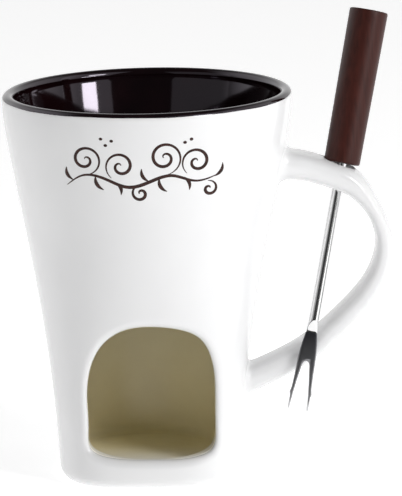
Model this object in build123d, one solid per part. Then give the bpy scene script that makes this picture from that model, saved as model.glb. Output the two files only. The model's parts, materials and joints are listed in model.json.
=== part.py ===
from build123d import *
import math
import os

# A ceramic fondue mug with its dipping fork.  Millimetres, +Z up.  The origin is on the mug's axis in the
# plane that it stands on.  The tea-light door faces -Y and the handle points along +X.

# ---------------------------------------------------------------- driving dimensions: mug
MUG_HEIGHT = 134.5
# Outside of the wall as one Bezier curve from foot to rim: (half width, height) of its four control points.
WALL_CURVE = [(30.95, 0.0), (34.3, 67.5), (51.8, 118.5), (50.0, MUG_HEIGHT)]
SQUARENESS_AT_FOOT = 3.0          # exponent of the plan's superellipse at the foot; 2 is a circle
ROUND_FROM_HEIGHT = 92.0          # above this height the plan is a true circle
FOOT_EDGE_RADIUS = 4.0
LIP_RADIUS = 2.1                  # the rim is a full round, twice this thick
WALL_THICKNESS = 4.6
SEAM_HEIGHT = 61.0                # the bowl is cast apart and joined on the stand here
BOWL_FLOOR_THICKNESS = 4.5
BOWL_CORNER_RADIUS = 11.0
GLAZE_THICKNESS = 0.5

# ---------------------------------------------------------------- driving dimensions: stand and door
CHAMBER_FLOOR_HEIGHT = 7.5
CHAMBER_CORNER_RADIUS = 4.0
FOOT_RECESS_RADIUS = 22.0
FOOT_RECESS_DEPTH = 1.5
# Hand-cut door, seen square on from the front: (x, z) once round from the top.
DOOR_OUTLINE = [
    (0.5, 58.1), (9.5, 57.0), (16.8, 53.6), (20.9, 46.6), (22.5, 34.0), (22.6, 20.5),
    (21.4, 13.3), (15.0, 10.7), (0.5, 10.2), (-14.2, 10.9), (-20.2, 13.3), (-21.2, 20.5),
    (-21.6, 32.0), (-19.4, 45.6), (-15.8, 51.8), (-8.5, 56.9),
]

# ---------------------------------------------------------------- driving dimensions: handle
HANDLE_WIDTH = 19.0
HANDLE_EDGE_RADIUS = 2.6
# Middle line of the strap in the XZ plane, from the upper root to the lower one: (x, z, thickness).
HANDLE_LINE = [
    (43.0, 108.4, 10.4), (54.5, 107.6, 9.4), (62.0, 105.4, 9.2), (69.5, 102.5, 9.0), (76.2, 95.7, 6.3),
    (81.9, 81.0, 6.0), (78.8, 68.0, 6.8), (69.6, 56.0, 7.6), (55.5, 43.6, 8.0), (33.0, 32.0, 9.0),
]
FORK_HOLE_DIAMETER = 9.6
SEAT_DIAMETER = 13.5              # shallow seat round the top of the hole that the grip's end sits in
SEAT_CLEARANCE = 0.15             # between the seat's floor and the grip's end

# ---------------------------------------------------------------- driving dimensions: fork
# The fork hangs in the hole by its grip and leans two ways, so that it passes in front of the lower strap.
FORK_LEAN = 10.9                  # degrees from vertical seen from the front, top away from the mug
FORK_TILT = 11.4                  # degrees from vertical seen from the side, tines towards the door side
HOLE_MIDDLE = (66.5, 103.6)       # (x, z) of the point in the middle of the hole that the fork's axis goes through
GRIP_RISE = 4.5                   # height of the grip's lower end above that point
GRIP_LENGTH = 53.9
GRIP_TOP_DIAMETER = 13.4
GRIP_BOTTOM_DIAMETER = 12.5
GRIP_EDGE_RADIUS = 0.7
SHANK_DIAMETER = 3.4
SHANK_IN_GRIP = 28.0
FORGING_START = 54.8              # below the grip, where the round rod starts to flatten
HEAD_START = 59.6
CROTCH_START = 69.6
HEAD_THICKNESS = 1.6
# Half of the fork head, from the rod to the point of a tine: (distance off the axis, distance below the grip).
HEAD_OUTSIDE = [(1.95, HEAD_START), (2.65, 63.8), (3.1, 69.2), (3.25, 74.8), (3.5, 79.2)]
BARB = [(3.9, 81.0), (3.6, 81.9)]
TINE_END = [(3.62, 86.4), (3.3, 86.9), (2.98, 86.5)]
TINE_INSIDE = [(2.68, 82.0), (2.05, 76.2), (1.4, 72.0)]


def wall_half_width(height):
    """Half width of the outside of the mug at a height, from the Bezier curve."""
    low, high = 0.0, 1.0
    for _ in range(40):
        t = 0.5 * (low + high)
        weights = ((1 - t) ** 3, 3 * t * (1 - t) ** 2, 3 * t * t * (1 - t), t ** 3)
        z = sum(w * point[1] for w, point in zip(weights, WALL_CURVE))
        if z < height:
            low = t
        else:
            high = t
    return sum(w * point[0] for w, point in zip(weights, WALL_CURVE))


def plan_section(height):
    """The mug's outside at one height: a superellipse that eases into a circle higher up."""
    half = wall_half_width(height)
    share = max(0.0, 1.0 - height / ROUND_FROM_HEIGHT)
    n = 2.0 + (SQUARENESS_AT_FOOT - 2.0) * share * share * (3 - 2 * share)
    points = []
    for step in range(24):
        angle = math.radians(15.0 * step)
        size = (abs(math.cos(angle)) ** n + abs(math.sin(angle)) ** n) ** (-1.0 / n)
        points.append((half * size * math.cos(angle), half * size * math.sin(angle)))
    outline = Spline(*points, periodic=True)
    return Pos(0, 0, height) * make_face(outline)


def turned(profile_edges):
    """A solid turned about Z from edges in the XZ plane that close on the axis."""
    face = make_face(Wire(profile_edges))
    return revolve(Plane.XZ * face, Axis.Z)


def slab(bottom, top):
    """A wide block between two heights, for cutting pieces apart."""
    return Pos(0, 0, 0.5 * (bottom + top)) * Box(240, 240, top - bottom)


def cavity(bottom, top, wall, corner_radius):
    """The space inside a wall of even thickness between two heights, with a rounded bottom corner."""
    heights = [bottom + (top - bottom) * i / 4 for i in range(5)]
    side = [(wall_half_width(z) - wall, z) for z in heights]
    edges = [
        Line((0, bottom), side[0]),
        Spline(*side),
        Line(side[-1], (0, top)),
        Line((0, top), (0, bottom)),
    ]
    solid = turned(edges)
    corner = solid.edges().group_by(Axis.Z)[0]
    return fillet(corner, corner_radius)


# ---------------------------------------------------------------- mug
LIP_CENTRE_HEIGHT = MUG_HEIGHT - LIP_RADIUS
LIP_CENTRE_RADIUS = wall_half_width(LIP_CENTRE_HEIGHT) - LIP_RADIUS
BOWL_FLOOR_HEIGHT = SEAM_HEIGHT + BOWL_FLOOR_THICKNESS
SECTION_HEIGHTS = [0.0, 16.0, 36.0, 60.0, 84.0, 104.0, 120.0, LIP_CENTRE_HEIGHT]


def mug_form():
    """The mug's outside as one closed solid, with its foot edge rounded."""
    form = loft([plan_section(height) for height in SECTION_HEIGHTS])
    foot_edges = form.edges().group_by(Axis.Z)[0]
    return fillet(foot_edges, FOOT_EDGE_RADIUS)


def lip_ring(radius):
    """The upper half of the rim's round bead."""
    bead = Pos(0, 0, LIP_CENTRE_HEIGHT) * Torus(LIP_CENTRE_RADIUS, radius)
    return bead & slab(LIP_CENTRE_HEIGHT, MUG_HEIGHT + 5)


def bowl_shell(form):
    """The upper casting: a deep bowl with a flat floor and a rounded rim."""
    clay = form & slab(SEAM_HEIGHT, LIP_CENTRE_HEIGHT)
    lip_wall = 2 * LIP_RADIUS - GLAZE_THICKNESS
    hollow = cavity(BOWL_FLOOR_HEIGHT, LIP_CENTRE_HEIGHT, lip_wall, BOWL_CORNER_RADIUS)
    return clay - hollow + lip_ring(LIP_RADIUS - GLAZE_THICKNESS)


def bowl_glaze():
    """The dark glaze coat inside the bowl and over the rim."""
    lip_wall = 2 * LIP_RADIUS - GLAZE_THICKNESS
    outside = cavity(BOWL_FLOOR_HEIGHT, LIP_CENTRE_HEIGHT, lip_wall, BOWL_CORNER_RADIUS)
    inside = cavity(
        BOWL_FLOOR_HEIGHT + GLAZE_THICKNESS,
        LIP_CENTRE_HEIGHT,
        lip_wall + GLAZE_THICKNESS,
        BOWL_CORNER_RADIUS - GLAZE_THICKNESS,
    )
    bead = lip_ring(LIP_RADIUS) - lip_ring(LIP_RADIUS - GLAZE_THICKNESS)
    return (outside - inside) + bead


def door_cutter():
    """The door's outline pushed back through the front wall."""
    outline = Spline(*DOOR_OUTLINE, periodic=True)
    face = Plane.XZ * make_face(outline)
    return extrude(face, 60.0)


def warmer_stand(form):
    """The lower casting: the stand that holds the tea light, with its door and foot ring."""
    clay = form & slab(0, SEAM_HEIGHT)
    chamber = cavity(CHAMBER_FLOOR_HEIGHT, SEAM_HEIGHT, WALL_THICKNESS, CHAMBER_CORNER_RADIUS)
    recess = Pos(0, 0, 0.5 * FOOT_RECESS_DEPTH) * Cylinder(FOOT_RECESS_RADIUS, FOOT_RECESS_DEPTH)
    return clay - chamber - door_cutter() - recess


def chamber_glaze():
    """The thin buff coat on the chamber's floor and wall."""
    outside = cavity(CHAMBER_FLOOR_HEIGHT, SEAM_HEIGHT, WALL_THICKNESS, CHAMBER_CORNER_RADIUS)
    inside = cavity(
        CHAMBER_FLOOR_HEIGHT + GLAZE_THICKNESS,
        SEAM_HEIGHT,
        WALL_THICKNESS + GLAZE_THICKNESS,
        CHAMBER_CORNER_RADIUS - GLAZE_THICKNESS,
    )
    return outside - inside - door_cutter()


# ---------------------------------------------------------------- fork placing
LEAN_SLOPE = math.tan(math.radians(FORK_LEAN))
TILT_SLOPE = math.tan(math.radians(FORK_TILT))
# Local Z of this plane runs down the fork from the grip's lower end, and local X points away from the mug.
FORK_PLANE = Plane(
    origin=(HOLE_MIDDLE[0] + GRIP_RISE * LEAN_SLOPE, GRIP_RISE * TILT_SLOPE, HOLE_MIDDLE[1] + GRIP_RISE),
    x_dir=(1 + TILT_SLOPE ** 2, -LEAN_SLOPE * TILT_SLOPE, -LEAN_SLOPE),
    z_dir=(-LEAN_SLOPE, -TILT_SLOPE, -1),
)
# The hole through the strap leans only sideways.
HOLE_PLANE = Plane(
    origin=(HOLE_MIDDLE[0], 0, HOLE_MIDDLE[1]),
    z_dir=(LEAN_SLOPE, 0, 1),
)


def along_fork(radius, start, end):
    """A round bar on the fork's axis between two distances below the grip."""
    bar = Pos(0, 0, 0.5 * (start + end)) * Cylinder(radius, end - start)
    return FORK_PLANE.location * bar


# ---------------------------------------------------------------- handle
def mug_handle(form):
    """The strap handle, luted to the wall at both ends, with the fork's hole and seat in its upper run."""
    middle = Spline(*[(x, z) for x, z, _ in HANDLE_LINE])
    # The thickness is spread by the distance along the line, like the line's own parameter.
    walked = [0.0]
    for (x, z, _), (next_x, next_z, _) in zip(HANDLE_LINE, HANDLE_LINE[1:]):
        walked.append(walked[-1] + math.hypot(next_x - x, next_z - z))
    thickness = Spline(*[(far, entry[2]) for far, entry in zip(walked, HANDLE_LINE)])
    outer, inner = [], []
    samples = 3 * len(HANDLE_LINE)
    for i in range(samples + 1):
        share = i / samples
        tangent = middle % share
        across = Vector(-tangent.Y, tangent.X)
        half = 0.5 * (thickness @ share).Y
        outer.append(middle @ share + across * half)
        inner.append(middle @ share - across * half)
    edges = [
        Spline(*outer),
        Line(outer[-1], inner[-1]),
        Spline(*inner),
        Line(inner[0], outer[0]),
    ]
    face = Plane.XZ * make_face(Wire(edges))
    strap = extrude(face, HANDLE_WIDTH / 2, both=True)
    long_edges = strap.edges().filter_by(GeomType.BSPLINE)
    strap = fillet(long_edges, HANDLE_EDGE_RADIUS)
    hole = HOLE_PLANE.location * Cylinder(FORK_HOLE_DIAMETER / 2, 40)
    seat = along_fork(SEAT_DIAMETER / 2, -20, SEAT_CLEARANCE)
    return strap - form - hole - seat


# ---------------------------------------------------------------- fork
def fork_grip():
    """The turned grip: a long taper, softly rounded at both ends, bored for the shank."""
    cone = Pos(0, 0, -GRIP_LENGTH / 2) * Cone(
        GRIP_TOP_DIAMETER / 2, GRIP_BOTTOM_DIAMETER / 2, GRIP_LENGTH)
    cone = fillet(cone.edges().filter_by(GeomType.CIRCLE), GRIP_EDGE_RADIUS)
    return FORK_PLANE.location * cone - along_fork(SHANK_DIAMETER / 2, -SHANK_IN_GRIP, 1)


def fork_head():
    """The flat forked head: two barbed tines either side of a rounded crotch."""
    crotch = (0, CROTCH_START)
    right = [
        Spline(*HEAD_OUTSIDE),
        Polyline(HEAD_OUTSIDE[-1], *BARB, *TINE_END, TINE_INSIDE[0]),
        Spline(*TINE_INSIDE, crotch, tangents=[(-0.1, -1), (-1, 0)]),
    ]
    left = [mirror(edge, Plane.YZ) for edge in right]
    back = Line(HEAD_OUTSIDE[0], (-HEAD_OUTSIDE[0][0], HEAD_OUTSIDE[0][1]))
    edges = []
    for part in right + left + [back]:
        edges += part.edges()
    face = make_face(Wire.combine(edges)[0])
    flat = extrude(face, HEAD_THICKNESS / 2, both=True)
    # The outline is drawn in X and Y; turning it about X lays its Y down the fork.
    return FORK_PLANE.location * Rot(90, 0, 0) * flat


def fork_shank():
    """The steel rod with its flattened, forked head."""
    rod = along_fork(SHANK_DIAMETER / 2, -SHANK_IN_GRIP, FORGING_START)
    round_end = FORK_PLANE.location * Pos(0, 0, FORGING_START) * Circle(SHANK_DIAMETER / 2)
    flat_end = FORK_PLANE.location * Pos(0, 0, HEAD_START) * RectangleRounded(
        2 * HEAD_OUTSIDE[0][0], HEAD_THICKNESS, 0.3)
    shoulder = loft([round_end, flat_end])
    return rod + shoulder + fork_head()


os.makedirs("parts", exist_ok=True)
FORM = mug_form()
PIECES = {
    "bowl_shell": bowl_shell(FORM),
    "bowl_glaze": bowl_glaze(),
    "warmer_stand": warmer_stand(FORM),
    "chamber_glaze": chamber_glaze(),
    "mug_handle": mug_handle(FORM),
    "fork_grip": fork_grip(),
    "fork_shank": fork_shank(),
}
for name, piece in PIECES.items():
    export_step(piece, f"parts/{name}.step")
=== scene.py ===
import bmesh
import bpy
import json
import math
import numpy as np
from mathutils import Matrix, Vector
from mathutils.bvhtree import BVHTree


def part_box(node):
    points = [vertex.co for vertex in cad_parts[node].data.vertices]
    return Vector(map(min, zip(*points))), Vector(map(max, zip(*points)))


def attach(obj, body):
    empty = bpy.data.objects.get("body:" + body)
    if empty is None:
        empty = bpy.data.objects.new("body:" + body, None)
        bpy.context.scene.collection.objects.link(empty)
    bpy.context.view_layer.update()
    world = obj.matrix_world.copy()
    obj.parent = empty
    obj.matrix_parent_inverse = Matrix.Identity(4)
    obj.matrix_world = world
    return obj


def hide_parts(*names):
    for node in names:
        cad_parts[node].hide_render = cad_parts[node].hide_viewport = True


# A ceramic fondue mug with its dipping fork.  Shapes are worked out in millimetres in the frame's axes:
# the origin on the mug's axis at the foot, +Z up, the tea-light door towards -Y, the handle along +X.

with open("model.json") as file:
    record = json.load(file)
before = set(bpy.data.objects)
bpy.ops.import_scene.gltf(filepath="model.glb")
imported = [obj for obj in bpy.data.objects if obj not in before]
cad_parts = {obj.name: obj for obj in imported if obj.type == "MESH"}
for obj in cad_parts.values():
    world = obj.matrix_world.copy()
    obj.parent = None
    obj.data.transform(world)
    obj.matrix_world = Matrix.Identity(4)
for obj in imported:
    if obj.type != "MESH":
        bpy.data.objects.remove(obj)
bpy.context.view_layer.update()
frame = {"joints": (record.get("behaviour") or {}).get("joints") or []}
MM = 0.001

# ---------- sizes: mug (mm)
MUG_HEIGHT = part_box("bowl_glaze")[1].z / MM
WALL_CURVE = [(30.95, 0.0), (34.3, 67.5), (51.8, 118.5), (50.0, MUG_HEIGHT)]
SQUARENESS_AT_FOOT = 3.0
ROUND_FROM_HEIGHT = 92.0
FOOT_EDGE_RADIUS = 4.0
FOOT_RECESS_RADIUS = 22.0
FOOT_RECESS_DEPTH = 1.5
LIP_RADIUS = 2.1
LIP_CENTRE_HEIGHT = MUG_HEIGHT - LIP_RADIUS
BOWL_FLARE = math.atan(0.185)  # the bowl's side leans out by this much
CHAMBER_WALL = 4.6
GLAZE_THICKNESS = 0.5
GLAZE_GAP = 0.05  # between the clay and the hidden side of a coat
BOWL_FLOOR_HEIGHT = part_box("bowl_glaze")[0].z / MM
BOWL_CORNER_RADIUS = 11.0
CHAMBER_FLOOR_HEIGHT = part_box("chamber_glaze")[0].z / MM
CHAMBER_CEILING_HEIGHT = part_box("chamber_glaze")[1].z / MM
CHAMBER_CORNER_RADIUS = 4.0
RIM_TILT = math.radians(0.9)  # the rim is thrown a little out of level, high on the handle side
RIM_TILT_FROM = 112.0  # height where that tilt starts
GLAZE_EDGE_TURN = 0.40  # where the brown coat ends on the rim's bead, radians up from its outside
GLAZE_EDGE_WAVE = 0.10
GLAZE_PROUD = 0.07  # how far the coat stands out from the bead there

# Hand-cut door seen square on from the front: (x, z) once round from the top.
DOOR_OUTLINE = [
    (0.5, 58.1), (9.5, 57.0), (16.8, 53.6), (20.9, 46.6), (22.5, 34.0), (22.6, 20.5),
    (21.4, 13.3), (15.0, 10.7), (0.5, 10.2), (-14.2, 10.9), (-20.2, 13.3), (-21.2, 20.5),
    (-21.6, 32.0), (-19.4, 45.6), (-15.8, 51.8), (-8.5, 56.9),
]
DOOR_MIDDLE = np.array([0.4, 34.0])
DOOR_EDGE_RADIUS = 3.0
DOOR_INNER_EDGE_RADIUS = 1.0

# ---------- sizes: handle (mm)
# Middle line of the strap in the XZ plane, from the upper root to the lower one: (x, z, thickness).
HANDLE_LINE = [
    (43.0, 108.4, 10.4), (54.5, 107.6, 9.4), (62.0, 105.4, 9.2), (69.5, 102.5, 9.0), (76.2, 95.7, 6.3),
    (81.9, 81.0, 6.0), (78.8, 68.0, 6.8), (69.6, 56.0, 7.6), (55.5, 43.6, 8.0), (33.0, 32.0, 9.0),
]
HANDLE_WIDTH = 19.0
STRAP_ROUNDNESS = 2.9  # exponent of the strap's superellipse section
ROOT_FILLET = 3.2
ROOT_SINK = 2.2  # how far the roots go into the mug's wall
FORK_HOLE_RADIUS = 4.8
HOLE_EDGE_RADIUS = 1.1
SEAT_RADIUS = 6.6  # the shallow seat round the top of the hole, about the fork's axis
SEAT_CLEARANCE = 0.15  # between the seat's floor and the grip's end
SEAT_HOLE_EDGE_RADIUS = 0.5

# ---------- sizes: fork (mm)
FORK_UP = np.array(frame["joints"][0]["axis"], float)
HOLE_MIDDLE = np.array([66.5, 0.0, 103.6])
GRIP_RISE = 4.5
GRIP_LENGTH = 53.9
GRIP_TOP_RADIUS = 6.7
GRIP_BOTTOM_RADIUS = 6.25
GRIP_EDGE_RADIUS = 0.7
SHANK_RADIUS = 1.7
SHANK_IN_GRIP = 28.0
FORGING_START = 54.8
HEAD_START = 59.6
CROTCH_START = 69.6
HEAD_THICKNESS = 1.6
# One tine as (distance off the fork's middle, distance below the grip).
HEAD_OUTSIDE = [(1.95, HEAD_START), (2.65, 63.8), (3.1, 69.2), (3.25, 74.8), (3.5, 79.2)]
BARB = [(3.9, 81.0), (3.6, 81.9)]
TINE_END = [(3.62, 86.4), (3.3, 86.9), (2.98, 86.5)]
TINE_INSIDE = [(2.68, 82.0), (2.05, 76.2), (1.4, 72.0)]
TINE_POINT = TINE_END[1]

# ---------- sizes: painted flourish, (x, z) from the front (mm)
FLOURISH_STEM = [
    (-27.6, 108.6), (-22.0, 112.6), (-14.5, 111.6), (-7.0, 109.0), (0.5, 111.0), (8.0, 113.0), (15.5, 110.8),
    (24.0, 112.6),
]
FLOURISH_CURLS = [  # (middle, radius, start in degrees, turns)
    ((-21.5, 118.2), 5.2, -90, 1.6), ((-9.6, 116.4), 5.0, 235, -1.5), ((5.4, 119.4), 5.8, -80, 1.7),
    ((16.4, 117.6), 5.0, 230, -1.5), ((-2.8, 106.8), 2.9, 80, 1.3), ((20.6, 107.6), 2.6, 100, -1.2),
]
FLOURISH_LEAVES = [  # (base, tip, bend, width)
    ((-25.5, 110.6), (-27.8, 115.0), 0.2, 1.5), ((-18.0, 112.6), (-15.2, 107.8), -0.2, 1.6),
    ((-11.5, 110.6), (-9.4, 106.2), 0.2, 1.5), ((3.6, 112.2), (6.2, 107.4), -0.2, 1.6),
    ((11.6, 112.4), (13.8, 107.6), 0.2, 1.5), ((0.0, 111.2), (-2.4, 115.6), 0.2, 1.5),
    ((22.2, 111.8), (25.2, 116.4), -0.2, 1.5),
]
FLOURISH_BERRIES = [(-14.6, 123.6), (-12.6, 125.2), (-16.2, 125.8), (12.4, 124.6), (14.6, 125.6)]
STEM_WIDTH = 1.5
CURL_WIDTH = 1.35
BERRY_WIDTH = 1.3
BERRY_LENGTH = 1.24

# ---------- studio: surroundings, lamps and camera
# Directions are (azimuth, elevation) in degrees; azimuth 0 is in front of the door, 90 on the handle's side.
STUDIO_LEVEL = 0.05
STUDIO_PATCHES = [  # (azimuth, elevation, full within, none past, amount)
    (-115, 20, 15, 45, 1.25), (110, 15, 10, 50, 1.0), (180, 5, 10, 45, 0.9),
]
SOFTBOXES = [  # (name, azimuth, elevation, distance, width, height, power)
    ("right_softbox", 56, 33, 1.6, 1.55, 1.8, 6.5), ("key_softbox", 46, 31, 1.45, 0.38, 0.38, 7.2),
    ("bowl_strip", 52, 13, 1.5, 0.36, 0.10, 2.6), ("left_softbox", -52, 23, 1.6, 1.7, 1.1, 2.1),
]
LAMP_TARGET = (0.018, 0, 0.07)  # metres
FLOOR_GLOW = 0.52
FLOOR_HEIGHT = -0.0002  # metres, just under the foot
CAMERA_TARGET = (18.4, 0.0, 78.8)  # mm
CAMERA_DISTANCE = 2200.0
CAMERA_ELEVATION = 10.99
CAMERA_AZIMUTH = -1.0
CAMERA_ROLL = 0.35
CAMERA_LENS = 459.9

# ---------- fineness of the meshes
AROUND = 256  # vertices in one ring of the mug
CHAMBER_AROUND = 200
DOOR_COLUMNS = 72  # the rectangle of each wall's cells that the doorway takes up
DOOR_ROWS = 40
STRAP_COLUMNS = 72
STRAP_ROWS = 118
HOLE_COLUMNS = 26  # the rectangle of the strap's cells that the fork's hole takes up
HOLE_HALF_ROWS = 9
GRIP_AROUND = 96
SHANK_AROUND = 48
SLOPE_STEP = 0.05  # mm either way, to find how a surface lies


# ---------- curves and surfaces
def around(count):
    """Even angles once round."""
    return 2 * np.pi * np.arange(count) / count


def unit(vectors):
    """Vectors scaled to length 1."""
    return vectors / np.linalg.norm(vectors, axis=-1, keepdims=True)


def powered(values, power):
    """A power that keeps each value's sign."""
    return np.sign(values) * np.abs(values) ** power


def superellipse(angle, half_a, half_b, roundness):
    """The two coordinates of points on a superellipse."""
    power = 2 / roundness
    return half_a * powered(np.cos(angle), power), half_b * powered(np.sin(angle), power)


def circle(angle):
    """Points on the unit circle."""
    return np.stack([np.cos(angle), np.sin(angle)], 1)


def bearing(points):
    """The angle of each point from the first axis."""
    return np.arctan2(points[:, 1], points[:, 0])


def smooth_step(x):
    x = np.clip(x, 0, 1)
    return x * x * (3 - 2 * x)


def cubic_spline(points, samples, closed=False):
    """Points along a smooth cubic curve through the given ones, with chord-length spacing."""
    p = np.array(points, float)
    if closed:
        p = np.vstack([p, p[:1]])
    gap = np.linalg.norm(np.diff(p[:, :2], axis=0), axis=1)
    t = np.concatenate([[0.0], np.cumsum(gap)])
    n = len(p)
    a = np.zeros((n, n))
    b = np.zeros((n, p.shape[1]))
    slope = np.diff(p, axis=0) / gap[:, None]
    for i in range(1, n - 1):
        a[i, i - 1:i + 2] = gap[i - 1], 2 * (gap[i - 1] + gap[i]), gap[i]
        b[i] = 6 * (slope[i] - slope[i - 1])
    a[0, 0] = 1
    if closed:
        a[0, -1] = -1
        a[-1, :2] = 2 * gap[0], gap[0]
        a[-1, -2:] = gap[-1], 2 * gap[-1]
        b[-1] = 6 * (slope[0] - slope[-1])
    else:
        a[-1, -1] = 1
    bend = np.linalg.solve(a, b)
    s = np.linspace(0, t[-1], samples, endpoint=not closed)
    k = np.clip(np.searchsorted(t, s, side="right") - 1, 0, n - 2)
    h = gap[k][:, None]
    u = ((t[k + 1] - s)[:, None]) / h
    v = 1 - u
    return u * p[k] + v * p[k + 1] + ((u ** 3 - u) * bend[k] + (v ** 3 - v) * bend[k + 1]) * h * h / 6


def bezier_points(control, samples):
    """Points on a cubic Bezier curve."""
    t = np.linspace(0, 1, samples)[:, None]
    c = np.array(control, float)
    return (1 - t) ** 3 * c[0] + 3 * t * (1 - t) ** 2 * c[1] + 3 * t * t * (1 - t) * c[2] + t ** 3 * c[3]


WALL_SAMPLES = bezier_points(WALL_CURVE, 4001)


def half_width(z):
    """Half width of the mug's outside at a height."""
    return np.interp(z, WALL_SAMPLES[:, 1], WALL_SAMPLES[:, 0])


def squareness(z):
    """Exponent of the mug's plan at a height: 2 is a circle."""
    return 2.0 + (SQUARENESS_AT_FOOT - 2.0) * smooth_step(1 - np.asarray(z, float) / ROUND_FROM_HEIGHT)


def round_ring(radius, z, count=AROUND):
    """A ring about the mug's axis; the radius and the height may change round it."""
    angle = around(count)
    return np.stack([radius * np.cos(angle), radius * np.sin(angle), np.full(count, z, float)], 1)


def wall_points(angle, z):
    """Points of the mug's outside at angles round its axis and at heights."""
    c, s = np.cos(angle), np.sin(angle)
    n = squareness(z)
    r = half_width(z) * (np.abs(c) ** n + np.abs(s) ** n) ** (-1 / n)
    return np.stack([r * c, r * s, np.full(len(c), z, float)], 1)


def wall_ring(z, inset=0.0):
    """One ring of the mug's outside, moved inwards square to the outline by inset."""
    ring = wall_points(around(AROUND), z)
    slope = powered(ring[:, :2], squareness(z) - 1)
    ring[:, :2] -= inset * slope / np.hypot(*slope.T)[:, None]
    return ring


def onto_wall(points):
    """Points moved square to the axis onto the mug's outside."""
    return wall_points(bearing(points), points[:, 2])


def outside_wall(points):
    """How far points are outside the mug's wall, roughly; negative inside."""
    return np.hypot(*points[:, :2].T) - np.hypot(*onto_wall(points)[:, :2].T)


def front_surface(x, z):
    """The point of the mug's outside straight behind (x, z), seen from the front."""
    a = half_width(z)
    n = squareness(z)
    y = -a * np.maximum(1 - np.abs(x / a) ** n, 0) ** (1 / n)
    return np.stack([x, y, z], -1)


def tilt_rim(points):
    """The rim's slight tilt, which fades out down the wall."""
    share = smooth_step((points[:, 2] - RIM_TILT_FROM) / (MUG_HEIGHT - RIM_TILT_FROM))
    moved = points.copy()
    moved[:, 2] += points[:, 0] * math.tan(RIM_TILT) * share
    return moved


def round_edge(radius, count):
    """(distance before the edge, depth) of the steps that turn a round edge, without the first."""
    turns = [0.5 * math.pi * (k + 1) / count for k in range(count)]
    return [(radius * (1 - math.sin(turn)), radius * (1 - math.cos(turn))) for turn in turns]


# ---------- mesh building
def new_object(name, data):
    """A Blender object in the scene."""
    thing = bpy.data.objects.new(name, data)
    bpy.context.scene.collection.objects.link(thing)
    return thing


class Skin:
    """Vertices in millimetres and faces, built up ring by ring."""

    def __init__(self):
        self.points = []
        self.faces = []
        self.count = 0

    def add(self, points):
        """Adds points and returns their numbers."""
        points = np.asarray(points, float).reshape(-1, 3)
        first = self.count
        self.points.append(points)
        self.count += len(points)
        return np.arange(first, self.count)

    def all_points(self):
        return np.vstack(self.points)

    def bridge(self, ring_a, ring_b, skip=()):
        """Quads between two closed rings of the same length."""
        n = len(ring_a)
        for i in range(n):
            if i not in skip:
                j = (i + 1) % n
                self.faces.append((ring_a[i], ring_a[j], ring_b[j], ring_b[i]))

    def cap(self, ring, middle):
        """A fan from a ring to a middle point."""
        tip = self.add([middle])[0]
        n = len(ring)
        for i in range(n):
            self.faces.append((ring[i], ring[(i + 1) % n], tip))

    def lead(self, loop, points):
        """Adds a loop of points, bridges the last loop to it and returns it."""
        ring = self.add(points)
        self.bridge(loop, ring)
        return ring

    def stack(self, rings, holes=(), start=None, end=None):
        """Bridges rings, and caps the ends that have a middle point; returns the rings' numbers.

        A hole is (first ring, last ring, cells) to leave open.
        """
        numbers = [self.add(ring) for ring in rings]
        for j in range(len(numbers) - 1):
            skip = set()
            for low, high, cells in holes:
                if low <= j < high:
                    skip.update(cells)
            self.bridge(numbers[j], numbers[j + 1], skip)
        for ring, middle in ((numbers[0], start), (numbers[-1], end)):
            if middle is not None:
                self.cap(ring, middle)
        return numbers

    def build(self, name, material, shape=None):
        """Makes the Blender object, in metres, with its faces turned outwards."""
        points = self.all_points()
        if shape is not None:
            points = shape(points)
        mesh = bpy.data.meshes.new(name)
        mesh.from_pydata((points * MM).tolist(), [], [tuple(int(v) for v in f) for f in self.faces])
        bm = bmesh.new()
        bm.from_mesh(mesh)
        bmesh.ops.delete(bm, geom=[v for v in bm.verts if not v.link_faces], context="VERTS")
        bmesh.ops.recalc_face_normals(bm, faces=bm.faces)
        bm.to_mesh(mesh)
        bm.free()
        mesh.polygons.foreach_set("use_smooth", [True] * len(mesh.polygons))
        mesh.materials.append(material)
        mesh.update()
        return new_object(name, mesh)


def hole_border(numbers, hole):
    """The vertices round the open rectangle that a hole leaves in stacked rings, in order."""
    low, high, cells = hole
    grid = np.array(numbers[low:high + 1])
    grid = grid[:, [(cells[0] + i) % grid.shape[1] for i in range(len(cells) + 1)]]
    return np.concatenate([grid[0], grid[1:, -1], grid[-1, -2::-1], grid[-2:0:-1, 0]])


# ---------- the door
DOOR_SAMPLES = cubic_spline(DOOR_OUTLINE, 1440, closed=True)


def door_points(angles, offset):
    """Points on the door's outline, moved outwards by offset, in given directions from its middle."""
    ahead = unit(np.roll(DOOR_SAMPLES, -1, axis=0) - np.roll(DOOR_SAMPLES, 1, axis=0))
    # The outline runs clockwise from the top, so its outward side is on the left of the way it runs.
    outline = DOOR_SAMPLES + offset * np.stack([-ahead[:, 1], ahead[:, 0]], 1)
    spokes = outline - DOOR_MIDDLE
    spokes = spokes[np.argsort(bearing(spokes))]
    turn = bearing(spokes)
    lengths = np.tile(np.hypot(*spokes.T), 3)
    radius = np.interp(angles, np.concatenate([turn - 2 * np.pi, turn, turn + 2 * np.pi]), lengths)
    return DOOR_MIDDLE + radius[:, None] * circle(angles)


def door_hole(first_row, around_count):
    """The doorway's rectangle in a wall's rings, as Skin.stack takes it."""
    first = 3 * around_count // 4 - DOOR_COLUMNS // 2
    return first_row, first_row + DOOR_ROWS, range(first, first + DOOR_COLUMNS)


def door_patch(skin, border, surface, offset, rings):
    """Rings that lead from a rectangle of the grid in to the door's outline, all on one surface."""
    points = skin.all_points()[border][:, [0, 2]]
    angles = bearing(points - DOOR_MIDDLE)
    target = door_points(angles, offset)
    loop = border
    for k in range(1, rings + 1):
        share = 1 - (1 - k / rings) ** 1.4  # closer together towards the door
        flat = points * (1 - share) + target * share
        loop = skin.lead(loop, surface(flat[:, 0], flat[:, 1]))
    return loop, angles


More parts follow.
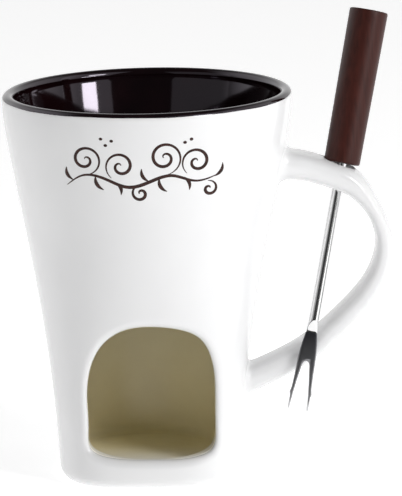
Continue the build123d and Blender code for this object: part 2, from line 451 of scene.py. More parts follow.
# ---------- the tea-light chamber
def chamber_radius(z, wall):
    """Radius of the tea-light chamber at a height, with its rounded bottom corner."""
    corner = CHAMBER_CORNER_RADIUS - (wall - CHAMBER_WALL)
    floor = CHAMBER_FLOOR_HEIGHT + (wall - CHAMBER_WALL)
    up = np.clip(floor + corner - z, 0, corner)
    return half_width(np.maximum(z, floor + corner)) - wall - corner + np.sqrt(corner ** 2 - up ** 2)


def chamber_surface(wall):
    """A function that gives the point of the chamber's front wall straight behind (x, z)."""
    def point(x, z):
        radius = chamber_radius(z, wall)
        return np.stack([x, -np.sqrt(np.maximum(radius ** 2 - x ** 2, 0)), z], -1)
    return point


def chamber_skin(skin, wall, door_offset):
    """The chamber's floor, wall and ceiling, and the doorway up to the front; returns its last loop."""
    floor = CHAMBER_FLOOR_HEIGHT + wall - CHAMBER_WALL
    corner = CHAMBER_CORNER_RADIUS - (wall - CHAMBER_WALL)
    heights = [floor + corner * (1 - math.cos(0.5 * math.pi * k / 8)) for k in range(9)]
    heights += list(np.linspace(floor + corner, CHAMBER_CEILING_HEIGHT - 0.3, 36)[1:])
    first = chamber_radius(floor, wall)
    last = chamber_radius(heights[-1], wall)
    profile = [(first * share, floor) for share in (0.25, 0.5, 0.75)]
    profile += [(chamber_radius(z, wall), z) for z in heights]
    profile += [(last * share, CHAMBER_CEILING_HEIGHT) for share in (0.99, 0.7, 0.35)]
    rings = [round_ring(radius, z, CHAMBER_AROUND) for radius, z in profile]
    hole = door_hole(6, CHAMBER_AROUND)
    numbers = skin.stack(rings, [hole], (0, 0, floor), (0, 0, CHAMBER_CEILING_HEIGHT))
    surface = chamber_surface(wall)
    edge = DOOR_INNER_EDGE_RADIUS
    loop, angles = door_patch(skin, hole_border(numbers, hole), surface, edge + door_offset, 8)
    for before, depth in round_edge(edge, 5):
        points = surface(*door_points(angles, door_offset + before).T)
        points[:, 1] -= depth
        loop = skin.lead(loop, points)
    outer = front_surface(*door_points(angles, door_offset).T)
    outer[:, 1] += DOOR_EDGE_RADIUS
    for share in (0.33, 0.66, 1.0):
        loop = skin.lead(loop, points + share * (outer - points))
    return loop


# ---------- the mug's body and coats
LIP_MIDDLE = half_width(LIP_CENTRE_HEIGHT) - LIP_RADIUS


def lip_arc(radius, turns):
    """(radius, height) of points on the rim's round bead, by radians up from its outside."""
    return [(LIP_MIDDLE + radius * math.cos(t), LIP_CENTRE_HEIGHT + radius * math.sin(t)) for t in turns]


def clay_lip():
    """(radius, height) over the clay's bead: full size where it shows white, thinner under the coat."""
    thins_from, thins_over = 0.55, 0.35
    found = []
    for turn in np.linspace(0.09, math.pi + BOWL_FLARE, 34):
        coat = GLAZE_THICKNESS * float(smooth_step((turn - thins_from) / thins_over))
        found += lip_arc(LIP_RADIUS - coat, [turn])
    return found


def bowl_profile(coat, floor, corner):
    """(radius, height) down the bowl's straight flaring side, coat thick, to the middle of its flat floor."""
    bead = LIP_RADIUS - GLAZE_THICKNESS + coat
    top = LIP_MIDDLE - bead * math.cos(BOWL_FLARE)
    start = LIP_CENTRE_HEIGHT - bead * math.sin(BOWL_FLARE)
    side = np.linspace(start, floor + corner * (1 + math.sin(BOWL_FLARE)), 40)
    profile = [(top - (start - z) * math.tan(BOWL_FLARE), z) for z in side]
    middle = profile[-1][0] - corner * math.cos(BOWL_FLARE)
    for turn in np.linspace(-BOWL_FLARE, 0.5 * math.pi, 14)[1:]:
        profile.append((middle + corner * math.cos(turn), floor + corner * (1 - math.sin(turn))))
    foot = profile[-1][0]
    return profile + [(foot * share, floor) for share in (0.75, 0.5, 0.25)]


def make_body(material):
    """The white ceramic: foot, wall, rounded door edge and the clay behind both coats, as one closed skin."""
    skin = Skin()
    radius, roof = FOOT_RECESS_RADIUS, FOOT_RECESS_DEPTH
    recess = [(radius * share, roof) for share in (0.3, 0.6, 0.9, 0.97)]
    recess += [(radius - 0.15, roof - 0.15), (radius, roof - 0.6), (radius + 0.1, 0.35), (radius + 0.5, 0.0)]
    rings = [round_ring(r, z) for r, z in recess]
    rings += [wall_ring(height, inset) for height, inset in round_edge(FOOT_EDGE_RADIUS, 9)[::-1]]
    hole = door_hole(len(rings) + 3, AROUND)
    door_top = 66.0
    heights = [FOOT_EDGE_RADIUS, 4.7, 5.4] + list(np.linspace(6.1, door_top, DOOR_ROWS + 1))
    heights += list(np.linspace(door_top, LIP_CENTRE_HEIGHT, 46)[1:])
    rings += [wall_ring(z) for z in heights]
    inside = clay_lip() + bowl_profile(0.0, BOWL_FLOOR_HEIGHT, BOWL_CORNER_RADIUS)[1:]
    rings += [round_ring(r, z) for r, z in inside]
    numbers = skin.stack(rings, [hole], (0, 0, roof), (0, 0, BOWL_FLOOR_HEIGHT))
    loop, angles = door_patch(skin, hole_border(numbers, hole), front_surface, DOOR_EDGE_RADIUS, 14)
    for before, depth in round_edge(DOOR_EDGE_RADIUS, 9):
        points = front_surface(*door_points(angles, before).T)
        points[:, 1] += depth
        loop = skin.lead(loop, points)
    skin.bridge(loop, chamber_skin(skin, CHAMBER_WALL, GLAZE_THICKNESS))
    return skin.build("mug_porcelain", material, tilt_rim)


def make_chamber_lining(material):
    """The buff coat of the tea-light chamber and its doorway: a thin closed shell."""
    skin = Skin()
    seen = chamber_skin(skin, CHAMBER_WALL + GLAZE_THICKNESS, 0.0)
    behind = chamber_skin(skin, CHAMBER_WALL + GLAZE_GAP, GLAZE_THICKNESS - GLAZE_GAP)
    skin.bridge(seen, behind)
    return skin.build("chamber_lining", material)


def wavy(angle):
    """A gentle uneven wave round the rim, from -1 to 1."""
    return 0.5 * np.sin(3 * angle + 0.6) + 0.3 * np.sin(7 * angle + 2.1) + 0.2 * np.sin(17 * angle + 4.0)


def make_bowl_coat(material):
    """The brown coat of the bowl, which laps over the rim and ends in an uneven line on its bead."""
    skin = Skin()
    edge = GLAZE_EDGE_TURN + GLAZE_EDGE_WAVE * wavy(around(AROUND))
    # Steps over the rim as (turn, how far the coat stands out); its edge is a small round bead of its own.
    bead = ((0.05, -0.2), (0.0, -0.03), (0.02, 0.03), (0.06, 0.06), (0.12, GLAZE_PROUD))
    steps = [(edge + past, proud) for past, proud in bead]
    start = steps[-1][0]
    for share in np.linspace(0, 1, 26)[1:]:
        steps.append((start + share * (math.pi + BOWL_FLARE - start), GLAZE_PROUD * (1 - share)))
    rings = []
    for turn, proud in steps:
        across, up = (LIP_RADIUS + proud) * np.cos(turn), (LIP_RADIUS + proud) * np.sin(turn)
        rings.append(round_ring(LIP_MIDDLE + across, LIP_CENTRE_HEIGHT + up))
    floor = BOWL_FLOOR_HEIGHT + GLAZE_THICKNESS
    seen = bowl_profile(GLAZE_THICKNESS, floor, BOWL_CORNER_RADIUS - GLAZE_THICKNESS)[1:]
    rings += [round_ring(r, z) for r, z in seen]
    front = skin.stack(rings, end=(0, 0, floor))
    floor = BOWL_FLOOR_HEIGHT + GLAZE_GAP
    hidden = lip_arc(LIP_RADIUS - GLAZE_THICKNESS + GLAZE_GAP, np.linspace(0.95, math.pi + BOWL_FLARE, 12))
    hidden += bowl_profile(GLAZE_GAP, floor, BOWL_CORNER_RADIUS - GLAZE_GAP)[1:]
    back = skin.stack([round_ring(r, z) for r, z in hidden], end=(0, 0, floor))
    skin.bridge(front[0], back[0])
    return skin.build("bowl_coat", material, tilt_rim)


# ---------- the handle
class Strap:
    """The strap's surface: a place is a step along its middle line and an angle round its section."""

    def __init__(self, samples=401, extra=24):
        line = cubic_spline(HANDLE_LINE, samples)
        straight = np.arange(extra, 0, -1)[:, None] * np.array([[1.0, 1.0, 0.0]])
        lead = line[0] - straight * (line[1] - line[0])
        trail = line[-1] + straight[::-1] * (line[-1] - line[-2])
        line = np.vstack([lead, line, trail])
        ahead = np.gradient(line[:, :2], axis=0)
        self.step = float(np.mean(np.hypot(*ahead.T)))
        ahead = unit(ahead)
        self.places = np.arange(len(line))
        self.table = np.column_stack([line, -ahead[:, 1], ahead[:, 0]])

    def at(self, place):
        """Middle x, middle z, thickness and outward x and z there."""
        return [np.interp(place, self.places, column) for column in self.table.T]

    def points(self, place, angle):
        """Points of the surface."""
        x, z, thick, out_x, out_z = self.at(place)
        up, across = superellipse(angle, 0.5 * thick, 0.5 * HANDLE_WIDTH, STRAP_ROUNDNESS)
        return np.stack([x + up * out_x, across, z + up * out_z], -1)

    def facing(self, place, angle):
        """The section's outward direction."""
        _, _, thick, out_x, out_z = self.at(place)
        power = 2 - 2 / STRAP_ROUNDNESS
        up = powered(np.cos(angle), power) / (0.5 * thick)
        across = powered(np.sin(angle), power) / (0.5 * HANDLE_WIDTH)
        return unit(np.stack([up * out_x, across, up * out_z], -1))


def even_angles(count):
    """Section angles that space the strap's columns evenly, from the middle of its outer side."""
    half_thickness = 3.7
    angle = np.linspace(0, 2 * np.pi, 20001)
    up, across = superellipse(angle, half_thickness, 0.5 * HANDLE_WIDTH, STRAP_ROUNDNESS)
    walked = np.concatenate([[0], np.cumsum(np.hypot(np.diff(up), np.diff(across)))])
    return np.interp(np.arange(count) / count * walked[-1], walked, angle)


def wall_facing(points):
    """The mug wall's outward direction next to some points."""
    slope = [outside_wall(points + step) - outside_wall(points - step) for step in SLOPE_STEP * np.eye(3)]
    return unit(np.stack(slope, 1))


def root_rows(strap, angles, meeting, clearing):
    """Rows that flare one root of the strap out onto the mug's wall, between two rows of places."""
    meet = strap.points(meeting, angles)
    clear = strap.points(clearing, angles)
    wall = wall_facing(meet)
    away = strap.facing(meeting, angles)
    away = unit(away - np.sum(away * wall, 1)[:, None] * wall)
    spread = onto_wall(meet + ROOT_FILLET * away) - 0.06 * wall
    flare = [(1 - t) ** 2 * spread + 2 * t * (1 - t) * meet + t * t * clear for t in np.arange(8) / 8]
    return [meet - ROOT_SINK * wall] + flare


def wall_meetings(strap, angles):
    """The places where each column of the strap comes out of the mug's wall and goes back in."""
    search = np.linspace(0, len(strap.places) - 1, 3000)
    first = []
    last = []
    for angle in angles:
        clear = outside_wall(strap.points(search, np.full(len(search), angle)))
        out = np.nonzero(clear > 0)[0]
        leaves = slice(out[0] - 1, out[0] + 1)
        enters = slice(out[-1], out[-1] + 2)
        first.append(np.interp(0, clear[leaves], search[leaves]))
        last.append(np.interp(0, -clear[enters], search[enters]))
    return np.array(first), np.array(last)


def make_handle(material):
    """The strap with its flared roots and the round hole that the fork hangs in."""
    strap = Strap()
    angles = even_angles(STRAP_COLUMNS)
    first, last = wall_meetings(strap, angles)
    fillet = ROOT_FILLET / strap.step
    start = first + fillet
    end = last - fillet
    places = [start + (end - start) * i / STRAP_ROWS for i in range(STRAP_ROWS + 1)]
    rings = root_rows(strap, angles, first, start)
    lead = len(rings)
    rings += [strap.points(place, angles) for place in places]
    rings += root_rows(strap, angles, last, end)[::-1]
    middle_places = np.array([np.mean(place) for place in places])
    axis = unit(np.array([FORK_UP[0] / FORK_UP[2], 0.0, 1.0]))
    hit = strap_caster(strap, axis)
    sides = ((1, 0.0, -13), (-1, math.pi, 23))  # (side, angle of its middle, first column of its hole)
    holes = []
    for side, angle, column in sides:
        centre = hit(np.zeros((1, 2)), side)[0]
        middle = strap.points(middle_places, np.full(len(places), angle))
        row = lead + int(np.argmin(np.linalg.norm(middle - centre, axis=1)))
        cells = [(column + k) % STRAP_COLUMNS for k in range(HOLE_COLUMNS)]
        holes.append((row - HOLE_HALF_ROWS, row + HOLE_HALF_ROWS, cells))
    skin = Skin()
    numbers = skin.stack(rings, holes, rings[0].mean(0), rings[-1].mean(0))
    loops = []
    for hole, (side, _, _) in zip(holes, sides):
        loops.append(hole_patch(skin, hole_border(numbers, hole), axis, side, hit))
    upper, lower = loops
    lower = match_loop(skin, upper, lower, axis)
    high_points = skin.all_points()[upper]
    low_points = skin.all_points()[lower]
    loop = upper
    for share in (0.25, 0.5, 0.75):
        loop = skin.lead(loop, high_points + share * (low_points - high_points))
    skin.bridge(loop, lower)
    return skin.build("mug_handle_strap", material)


def plane_axes(axis):
    """Two directions square to an axis."""
    u = np.array([0.0, 1.0, 0.0])
    return u, unit(np.cross(axis, u))


def strap_caster(strap, axis):
    """A function that drops points of the plane square to the axis onto the strap's upper or lower side."""
    reach = 22.0  # mm from the hole's middle, clear of the strap
    x, z = strap.at(strap.places)[:2]
    near = np.nonzero((x > HOLE_MIDDLE[0] - 16) & (x < HOLE_MIDDLE[0] + 14) & (z > 88))[0]
    places = np.linspace(near[0], near[-1], 260)
    angles = even_angles(216)
    patch = Skin()
    patch.stack([strap.points(np.full(len(angles), place), angles) for place in places])
    tree = BVHTree.FromPolygons(patch.all_points().tolist(), [[int(v) for v in face] for face in patch.faces])
    u, v = plane_axes(axis)

    def hit(flat, side):
        found = []
        for a, b in flat:
            start = HOLE_MIDDLE + a * u + b * v + side * reach * axis
            found.append(np.array(tree.ray_cast(Vector(start), Vector(-side * axis))[0]))
        return np.array(found)
    return hit


def flat_of(points, axis):
    """Points as (u, v) in the plane square to the hole's axis."""
    return np.stack([(points - HOLE_MIDDLE) @ direction for direction in plane_axes(axis)], 1)


def sink_to_seat(points, axis, share):
    """Moves points down the hole towards the floor of the grip's seat, by a share of the way."""
    down = fork_axes()[2]
    depth = (points - on_fork([(0, 0, 0)])[0]) @ down
    drop = np.maximum(SEAT_CLEARANCE - depth, 0) / -(axis @ down)
    return points - share * drop[:, None] * axis


def hole_patch(skin, border, axis, side, hit):
    """Rings from the open rectangle of the grid in to the hole, with the seat on the upper side."""
    flat = flat_of(skin.all_points()[border], axis)
    spoke = circle(bearing(flat))
    edge = HOLE_EDGE_RADIUS
    sunk = 0.0
    loop = border
    if side > 0:
        edge = SEAT_HOLE_EDGE_RADIUS
        centre = flat_of(on_fork([(0, 0, 0)]), axis)
        target = centre + (SEAT_RADIUS + 0.3) * spoke
        for k in range(1, 5):
            loop = skin.lead(loop, hit(flat + (target - flat) * k / 4, side))
        for past, sunk in ((0.15, 0.03), (0.05, 0.15), (0.0, 0.5), (-0.05, 0.85), (-0.2, 1.0)):
            flat = centre + (SEAT_RADIUS + past) * spoke
            loop = skin.lead(loop, sink_to_seat(hit(flat, side), axis, sunk))
    target = (FORK_HOLE_RADIUS + edge) * spoke
    for k in range(1, 6):
        loop = skin.lead(loop, sink_to_seat(hit(flat + (target - flat) * k / 5, side), axis, sunk))
    for before, depth in round_edge(edge, 6):
        points = sink_to_seat(hit((FORK_HOLE_RADIUS + before) * spoke, side), axis, sunk)
        loop = skin.lead(loop, points - side * depth * axis)
    return loop


def match_loop(skin, upper, lower, axis):
    """The lower loop, turned round so that it starts and runs like the upper one."""
    a, b = [np.unwrap(bearing(flat_of(skin.all_points()[loop], axis))) for loop in (upper, lower)]
    if (a[-1] - a[0]) * (b[-1] - b[0]) < 0:
        lower = lower[::-1]
        b = b[::-1]
    return np.roll(lower, -int(np.argmin(np.abs(np.exp(1j * b) - np.exp(1j * a[0])))))


# ---------- the fork
def fork_axes():
    """The fork's own directions: across the head, through the head, and down from the grip."""
    lean = FORK_UP[0] / FORK_UP[2]
    tilt = FORK_UP[1] / FORK_UP[2]
    across = unit(np.array([1 + tilt * tilt, -lean * tilt, -lean]))
    down = -unit(FORK_UP)
    return across, np.cross(down, across), down


def on_fork(points):
    """Points given as (across, through, distance below the grip's end), in the frame's axes."""
    origin = HOLE_MIDDLE + GRIP_RISE * FORK_UP / FORK_UP[2]
    return origin + np.asarray(points, float) @ np.array(fork_axes())


def flat_ring(middle, half, thick, roundness, depth, angles):
    """One section of the shank: a superellipse square to the fork."""
    a, b = superellipse(angles, half, thick, roundness)
    return np.stack([middle + a, b, np.full(len(angles), float(depth))], 1)


def side_of(line, depth):
    """The distance from the fork's middle on an outline at some depth."""
    return float(np.interp(depth, line[:, 1], line[:, 0]))


def tine_edges():
    """The outside and inside of one tine as (offset, depth), from the head's start to its point."""
    outside = np.vstack([cubic_spline(HEAD_OUTSIDE, 60), BARB, TINE_END[:2]])
    turn = np.linspace(0, 0.5 * math.pi, 14)
    off, depth = TINE_INSIDE[-1]
    below = (depth - CROTCH_START) * (1 - np.cos(turn))
    crotch = np.stack([off * np.sin(turn) ** 0.9, CROTCH_START + below], 1)
    inside = np.vstack([crotch, TINE_INSIDE[-2::-1], TINE_END[:0:-1]])
    return outside, inside


def make_shank(material, head_reflection_material):
    """The rod, its forged flattening and the two barbed tines, as one closed skin."""
    skin = Skin()
    full = 0.5 * HEAD_THICKNESS
    outside, inside = tine_edges()
    # A section is (half width, half thickness, roundness, depth).
    radius = SHANK_RADIUS
    end_bevel = 0.4
    sections = [(radius - end_bevel, radius - end_bevel, 2.0, -SHANK_IN_GRIP)]
    for depth in np.linspace(end_bevel - SHANK_IN_GRIP, FORGING_START, 30):
        sections.append((radius, radius, 2.0, depth))
    for t in np.linspace(0, 1, 13)[1:]:
        eased = float(smooth_step(t))
        half = radius + (HEAD_OUTSIDE[0][0] - radius) * eased
        thick = radius + (full - radius) * eased
        sections.append((half, thick, 2.0 + 4.0 * eased, FORGING_START + (HEAD_START - FORGING_START) * t))
    for depth in np.linspace(HEAD_START, CROTCH_START, 12)[1:]:
        sections.append((side_of(outside, depth), full, 6.0, depth))
    rings = [on_fork(flat_ring(0, *section, around(SHANK_AROUND))) for section in sections]
    last = skin.stack(rings, start=on_fork([(0, 0, -SHANK_IN_GRIP)])[0])[-1]
    # At the crotch the head's last ring is split in two by a short bar of points, one loop for each tine.
    bar = list(skin.add(on_fork([(0, full * b, CROTCH_START) for b in (0.6, 0.2, -0.2, -0.6)])))
    quarter = SHANK_AROUND // 4
    right = [last[k] for k in range(-quarter, quarter + 1)] + bar
    left = [last[k] for k in range(quarter, 3 * quarter + 1)] + bar[::-1]
    outer = np.linspace(-0.62 * math.pi, 0.62 * math.pi, 2 * quarter + 1)
    inner = np.linspace(0.62 * math.pi, 1.38 * math.pi, len(bar) + 2)[1:-1]
    turns = np.concatenate([outer, inner])
    depths = [CROTCH_START + (HEAD_OUTSIDE[-1][1] - CROTCH_START) * (k / 16) ** 1.5 for k in range(1, 17)]
    depths += [80.1, 80.6, BARB[0][1], 81.4, BARB[1][1], 82.8, 83.8, 84.8, 85.8]
    depths += [86.2, 86.4, 86.6, 86.75, 86.84]
    for loop, sign in ((right, 1), (left, -1)):
        for depth in depths:
            far = side_of(outside, depth)
            near = side_of(inside, depth)
            thick = full * min(1.0, 0.45 + 0.55 * (TINE_POINT[1] - depth) / 3.0)
            ring = flat_ring(0.5 * (far + near), 0.5 * (far - near), thick, 4.0, depth, turns)
            loop = skin.lead(loop, on_fork(ring * (sign, sign, 1)))
        skin.cap(loop, on_fork([(sign * TINE_POINT[0], 0, TINE_POINT[1])])[0])
    shank = skin.build("fork_steel", material)
    shank.data.materials.append(head_reflection_material)
    down = Vector(fork_axes()[2])
    origin = Vector(on_fork([(0, 0, 0)])[0])
    # The head's faces take the second material, whose colour is a painted reflection.
    for face in shank.data.polygons:
        if (face.center / MM - origin).dot(down) > HEAD_START:
            face.material_index = 1
    return shank


def make_grip(material):
    """The turned wooden grip, bored for the rod."""
    edge = GRIP_EDGE_RADIUS
    top = -GRIP_LENGTH
    profile = [(share * (GRIP_TOP_RADIUS - edge), top) for share in (0.3, 0.65, 1.0)]
    profile += [(GRIP_TOP_RADIUS - before, top + depth) for before, depth in round_edge(edge, 6)]
    for share in np.linspace(0, 1, 30)[1:]:
        radius = GRIP_TOP_RADIUS + (GRIP_BOTTOM_RADIUS - GRIP_TOP_RADIUS) * share
        profile.append((radius, top + edge + share * (GRIP_LENGTH - 2 * edge)))
    profile += [(GRIP_BOTTOM_RADIUS - depth, -before) for before, depth in round_edge(edge, 6)]
    profile += [(4.4, 0.0), (2.9, 0.0), (2.2, 0.0), (1.95, -0.08), (1.78, -0.3)]
    profile += [(SHANK_RADIUS + 0.06, -SHANK_IN_GRIP * share) for share in (0.1, 0.5, 1.0)]
    skin = Skin()
    rings = [on_fork(round_ring(radius, depth, GRIP_AROUND)) for radius, depth in profile]
    skin.stack(rings, (), *on_fork([(0, 0, top), (0, 0, -SHANK_IN_GRIP)]))
    return skin.build("fork_wood_grip", material)


# ---------- the painted flourish
def front_facing(x, z):
    """The outward direction of the mug's front at (x, z)."""
    along = front_surface(x + SLOPE_STEP, z) - front_surface(x - SLOPE_STEP, z)
    up = front_surface(x, z + SLOPE_STEP) - front_surface(x, z - SLOPE_STEP)
    return unit(np.cross(along, up))


def add_stroke(skin, line, width, taper=0.7):
    """One brush stroke: a low rounded ribbon on the mug's front, thinner at its ends."""
    line = np.asarray(line, float)
    ahead = unit(np.gradient(line, axis=0))
    side = np.stack([-ahead[:, 1], ahead[:, 0]], 1)
    half = 0.5 * width * (0.16 + 0.84 * np.sin(np.pi * np.linspace(0, 1, len(line))) ** taper)
    # The ribbon's section as (share of the half width, height above the wall).
    section = np.array([(-1.0, -0.08), (-0.75, 0.03), (0.0, 0.09), (0.75, 0.03), (1.0, -0.08), (0.0, -0.15)])
    rings = []
    for i in range(len(line)):
        x, z = (line[i] + side[i] * half[i] * section[:, :1]).T
        rings.append(front_surface(x, z) + section[:, 1:] * front_facing(x, z))
    skin.stack(rings, (), rings[0].mean(0), rings[-1].mean(0))


def curl(centre, radius, start, turns, samples=70):
    """A spiral from its outer end in to its middle; start in degrees, turns below zero run clockwise."""
    t = np.linspace(0, 1, samples)
    angle = math.radians(start) + 2 * math.pi * turns * t
    r = radius * (1 - t) ** 0.85 + 0.25
    return np.array(centre) + r[:, None] * circle(angle)


def leaf(base, tip, bend):
    """A short curved line from base to tip."""
    base, tip = np.array(base), np.array(tip)
    sideways = np.array([base[1] - tip[1], tip[0] - base[0]])
    t = np.linspace(0, 1, 14)[:, None]
    return base + t * (tip - base) + bend * 4 * t * (1 - t) * sideways


def make_flourish(material):
    """A winding stem with curls, leaves and berries, painted on the front below the rim."""
    skin = Skin()
    add_stroke(skin, cubic_spline(FLOURISH_STEM, 110), STEM_WIDTH)
    for spiral in FLOURISH_CURLS:
        add_stroke(skin, curl(*spiral), CURL_WIDTH)
    for base, tip, bend, width in FLOURISH_LEAVES:
        add_stroke(skin, leaf(base, tip, bend), width, 0.9)
    for x, z in FLOURISH_BERRIES:
        add_stroke(skin, [(x + BERRY_LENGTH * (k / 8 - 0.5), z) for k in range(9)], BERRY_WIDTH, 0.5)
    return skin.build("painted_flourish", material)


# ---------- materials
class Nodes:
    """A node tree, with short ways to add to it."""

    def __init__(self, tree):
        self.tree = tree

    def add(self, kind, **levels):
        """A new node; levels are its inputs, with _ for a space."""
        return self.set(self.tree.nodes.new("ShaderNode" + kind), **levels)

    def set(self, node, **levels):
        for name, level in levels.items():
            node.inputs[name.replace("_", " ")].default_value = level
        return node

    def link(self, output, socket):
        self.tree.links.new(output, socket)

    def place_along(self, output, direction):
        """How far a place or a view direction lies along a direction."""
        along = self.add("VectorMath")
        along.operation = "DOT_PRODUCT"
        along.inputs[1].default_value = direction
        self.link(output, along.inputs[0])
        return along.outputs["Value"]

    def between(self, value, none, full, low=0.0, high=1.0, smooth=True):
        """A level that goes from low to high as a value goes from none to full."""
        level = self.add("MapRange", From_Min=none, From_Max=full, To_Min=low, To_Max=high)
        level.interpolation_type = "SMOOTHSTEP" if smooth else "LINEAR"
        self.link(value, level.inputs["Value"])
        return level


class Paint(Nodes):
    """A material round its Principled shader; levels are the shader's inputs, with _ for a space."""

    def __init__(self, name, **levels):
        self.material = bpy.data.materials.new(name)
        self.material.use_nodes = True
        super().__init__(self.material.node_tree)
        self.shader = self.set(self.tree.nodes["Principled BSDF"], **levels)

    def place(self):
        """Places fixed to the object, in metres."""
        return self.add("TexCoord").outputs["Object"]

    def noise(self, scale, detail, stretch=(1, 1, 1)):
        """Noise fixed to the object, with scale in cycles per metre."""
        mapping = self.add("Mapping", Scale=stretch)
        noise = self.add("TexNoise", Scale=scale, Detail=detail)
        self.link(self.place(), mapping.inputs["Vector"])
        self.link(mapping.outputs["Vector"], noise.inputs["Vector"])
        return noise.outputs["Fac"]

    def ramp(self, value, first, last, *more):
        """A colour that changes with a value, by stops of (value, colour)."""
        ramp = self.add("ValToRGB")
        stops = ramp.color_ramp.elements
        for stop, (position, colour) in zip(stops, (first, last)):
            stop.position = position
            stop.color = (*colour, 1)
        for position, colour in more:
            stops.new(position).color = (*colour, 1)
        self.link(value, ramp.inputs["Fac"])
        return ramp.outputs["Color"]

    def colour(self, output):
        """Uses an output as the base colour."""
        self.link(output, self.shader.inputs["Base Color"])

    def bump(self, value, height):
        """Raises the surface by a value, height in metres."""
        bump = self.add("Bump", Distance=height, Strength=1.0)
        self.link(value, bump.inputs["Height"])
        self.link(bump.outputs["Normal"], self.shader.inputs["Normal"])


def white_glaze():
    """Glossy white glaze with the soft unevenness of a dipped coat."""
    paint = Paint("white_glaze", Roughness=0.16, IOR=1.5)
    paint.colour(paint.ramp(paint.noise(40, 2), (0.3, (0.765, 0.765, 0.77)), (0.7, (0.79, 0.79, 0.795))))
    paint.bump(paint.noise(55, 1), 0.00012)
    return paint.material


def brown_glaze():
    """Nearly black brown glaze, very glossy."""
    paint = Paint("brown_glaze", Roughness=0.07, IOR=1.52, Specular_Tint=(0.95, 0.87, 1.0, 1))
    tone = paint.noise(90, 3)
    paint.colour(paint.ramp(tone, (0.35, (0.0035, 0.0008, 0.0012)), (0.7, (0.0075, 0.0020, 0.0026))))
    paint.bump(paint.noise(70, 1), 0.0001)
    return paint.material


def painted_brown():
    """The same brown, brushed on thinly."""
    paint = Paint("painted_brown", Roughness=0.3, Specular_IOR_Level=0.25)
    tone = paint.noise(600, 3)
    paint.colour(paint.ramp(tone, (0.35, (0.020, 0.0060, 0.0042)), (0.75, (0.050, 0.0170, 0.0120))))
    return paint.material


def buff_glaze():
    """Thin buff glaze of the chamber, a little mottled, with a painted pool of light on its floor just inside
    the door.
    """
    paint = Paint("buff_glaze", Roughness=0.25)
    buff = paint.ramp(paint.noise(110, 4), (0.3, (0.92, 0.83, 0.56)), (0.75, (0.95, 0.865, 0.595)))
    # Painted light: the floor just inside the door is painted near white, a pool of light falling through the
    # doorway.
    place = paint.add("SeparateXYZ")
    paint.link(paint.place(), place.inputs[0])
    light_pool_depth = paint.between(place.outputs["Y"], 0.006, -0.026)
    painted_light_pool = paint.between(place.outputs["Z"], 0.018, 0.012)
    paint.link(light_pool_depth.outputs["Result"], painted_light_pool.inputs["To Max"])
    lit_floor_colour = paint.add("MixRGB", Color2=(0.97, 0.96, 0.92, 1))
    paint.link(painted_light_pool.outputs["Result"], lit_floor_colour.inputs["Fac"])
    paint.link(buff, lit_floor_colour.inputs["Color1"])
    paint.colour(lit_floor_colour.outputs["Color"])
    paint.bump(paint.noise(160, 2), 0.0001)
    return paint.material


def grip_lacquer():
    """Red-brown lacquered wood, its grain roughly along the fork."""
    paint = Paint("grip_lacquer", Roughness=0.42, Specular_IOR_Level=0.2, Coat_Weight=0.05,
                  Coat_Roughness=0.25)
    grain = paint.noise(900, 4, (1, 1, 0.06))
    paint.colour(paint.ramp(grain, (0.3, (0.030, 0.0058, 0.0036)), (0.75, (0.053, 0.0110, 0.0072))))
    paint.bump(grain, 0.00004)
    return paint.material


def polished_steel():
    """Polished rod steel, unevenly worn."""
    paint = Paint("polished_steel", Metallic=1.0, Base_Color=(0.80, 0.80, 0.80, 1))
    wear = paint.between(paint.noise(2500, 2, (1, 1, 0.04)), 0, 1, 0.05, 0.12, smooth=False)
    paint.link(wear.outputs["Result"], paint.shader.inputs["Roughness"])
    return paint.material


def head_steel_painted_reflection():
    """The head's steel with a painted reflection: dark where the head starts and brighter towards the points.
    """
    paint = Paint("head_steel_painted_reflection", Metallic=1.0, Roughness=0.3)
    down = fork_axes()[2]
    start = float(on_fork([(0, 0, HEAD_START)])[0] @ down) * MM
    end = start + (TINE_POINT[1] - HEAD_START) * MM
    level = paint.between(paint.place_along(paint.place(), down), start, end, smooth=False)
    # Painted reflection: the head's colour runs from dark at its start to bright at its points.
    reflected_dark, middle, reflected_bright = (0.07, 0.07, 0.08), (0.32, 0.32, 0.33), (0.75, 0.75, 0.76)
    paint.colour(paint.ramp(level.outputs["Result"], (0.0, reflected_dark), (1.0, reflected_bright), (0.6, middle)))
    return paint.material


def floor_paint():
    """Matt white floor that glows a little, like a lit backdrop."""
    return Paint("floor_white", Base_Color=(0.93, 0.93, 0.93, 1), Roughness=0.9, Specular_IOR_Level=0.1,
                 Emission_Color=(1.0, 1.0, 1.0, 1), Emission_Strength=FLOOR_GLOW).material


# ---------- floor, light and camera
def direction(azimuth, elevation):
    """Unit vector; azimuth 0 is towards -Y, 90 towards +X."""
    a, e = math.radians(azimuth), math.radians(elevation)
    return np.array([math.sin(a) * math.cos(e), -math.cos(a) * math.cos(e), math.sin(e)])


def add_floor():
    mesh = bpy.data.meshes.new("floor")
    half = 6.0
    corners = [(-half, -half, 0), (half, -half, 0), (half, half, 0), (-half, half, 0)]
    mesh.from_pydata(corners, [], [(0, 1, 2, 3)])
    mesh.materials.append(floor_paint())
    floor = new_object("floor", mesh)
    floor.location.z = FLOOR_HEIGHT


def add_surroundings():
    """A dim studio with three soft round patches of light: behind the mug and to the left and right of it."""
    world = bpy.data.worlds.new("studio")
    bpy.context.scene.world = world
    world.use_nodes = True
    studio = Nodes(world.node_tree)
    background = studio.set(studio.tree.nodes["Background"], Color=(1.0, 1.0, 1.0, 1))
    view = studio.add("TexCoord").outputs["Generated"]
    level = studio.add("Value").outputs[0]
    level.default_value = STUDIO_LEVEL
    for azimuth, elevation, inner, outer, amount in STUDIO_PATCHES:
        along = studio.place_along(view, direction(azimuth, elevation))
        none, full = math.cos(math.radians(outer)), math.cos(math.radians(inner))
        patch = studio.between(along, none, full, 0.0, amount).outputs["Result"]
        both = studio.add("Math")
        studio.link(level, both.inputs[0])
        studio.link(patch, both.inputs[1])
        level = both.outputs["Value"]
    studio.link(level, background.inputs["Strength"])


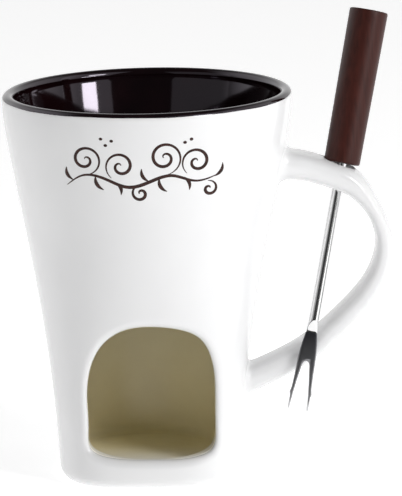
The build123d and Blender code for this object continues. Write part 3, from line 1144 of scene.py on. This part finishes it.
def add_softbox(name, azimuth, elevation, distance, width, height, power):
    """A rectangular lamp that looks at the mug."""
    lamp = bpy.data.lights.new(name, "AREA")
    lamp.shape = "RECTANGLE"
    lamp.size = width
    lamp.size_y = height
    lamp.energy = power
    thing = new_object(name, lamp)
    away = Vector(direction(azimuth, elevation))
    thing.location = Vector(LAMP_TARGET) + distance * away
    thing.rotation_euler = away.to_track_quat("Z", "Y").to_euler()


def add_camera():
    """A long lens in front of the door, looking slightly down."""
    back = direction(CAMERA_AZIMUTH, CAMERA_ELEVATION)
    right = unit(np.cross(-back, [0, 0, 1]))
    up = np.cross(right, -back)
    roll = math.radians(CAMERA_ROLL)
    camera = bpy.data.cameras.new("camera")
    camera.lens = CAMERA_LENS
    camera.sensor_width = 36.0
    camera.clip_start = 0.05
    camera.clip_end = 50.0
    matrix = np.eye(4)
    matrix[:3, 0] = right * math.cos(roll) - up * math.sin(roll)
    matrix[:3, 1] = up * math.cos(roll) + right * math.sin(roll)
    matrix[:3, 2] = back
    matrix[:3, 3] = (np.array(CAMERA_TARGET) + CAMERA_DISTANCE * back) * MM
    thing = new_object("camera", camera)
    thing.matrix_world = Matrix(matrix.tolist())
    bpy.context.scene.camera = thing


# ---------- the scene
def place_piece(piece, body, slot, *nodes):
    """Hooks a piece to its body in place of the CAD nodes, which it hides; the slot is not used."""
    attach(piece, body)
    if nodes:
        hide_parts(*nodes)


def build_object():
    white = white_glaze()
    place_piece(make_body(white), "mug", "white_glaze", "bowl_shell", "warmer_stand")
    place_piece(make_chamber_lining(buff_glaze()), "mug", "buff_glaze", "chamber_glaze")
    place_piece(make_bowl_coat(brown_glaze()), "mug", "brown_glaze", "bowl_glaze")
    place_piece(make_handle(white), "mug", "white_glaze", "mug_handle")
    place_piece(make_flourish(painted_brown()), "mug", "brown_glaze")
    place_piece(make_shank(polished_steel(), head_steel_painted_reflection()), "fork", "steel", "fork_shank")
    place_piece(make_grip(grip_lacquer()), "fork", "grip_lacquer", "fork_grip")


build_object()
add_floor()
add_surroundings()
for softbox in SOFTBOXES:
    add_softbox(*softbox)
add_camera()
bpy.context.scene.view_settings.view_transform = "Standard"
